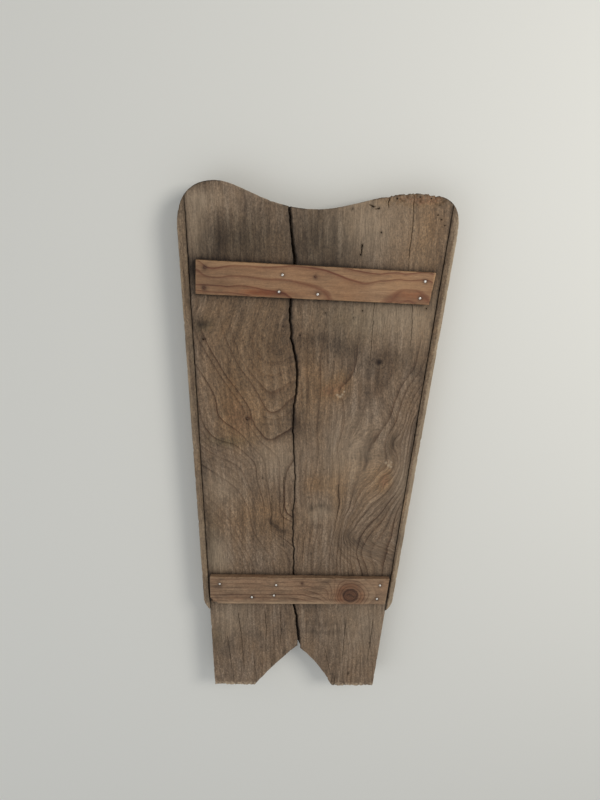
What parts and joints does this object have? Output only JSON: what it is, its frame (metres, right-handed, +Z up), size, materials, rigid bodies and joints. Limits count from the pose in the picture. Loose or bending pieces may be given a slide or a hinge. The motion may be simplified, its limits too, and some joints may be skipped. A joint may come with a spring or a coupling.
{
  "type": "wooden toboggan",
  "caption": "Weathered plank toboggan: tapered deck split in two halves, lobed front, notched rear, two edge runners and two nailed battens.",
  "frame": {"origin": "on the ground under the runners, below the centre of the plan", "axes": "+Z up from the runners' soles to the deck, +Y forward along the deck to the wide lobed end, +X to the right seen from above with the front away"},
  "size_m": [0.453, 0.973, 0.0622],
  "materials": {
    "deck_plank": "weathered grey-brown hardwood, worn and stained",
    "runner_wood": "weathered grey-brown hardwood, worn arrises",
    "front_batten_wood": "orange-brown pine with dark late wood",
    "rear_batten_wood": "dull grey-brown pine with a dark knot",
    "bright_nail": "bright worn steel",
    "rusty_nail": "dark rusted steel"
  },
  "bodies": {
    "root": {"left_deck_board": "deck_plank", "right_deck_board": "deck_plank", "left_runner": "runner_wood", "right_runner": "runner_wood", "front_batten": "front_batten_wood", "rear_batten": "rear_batten_wood", "front_batten_new_nails": "bright_nail", "front_batten_old_nails": "rusty_nail", "rear_batten_new_nails": "bright_nail", "rear_batten_old_nail": "rusty_nail", "left_runner_nails": "rusty_nail", "right_runner_nails": "rusty_nail"}
  },
  "joints": []
}
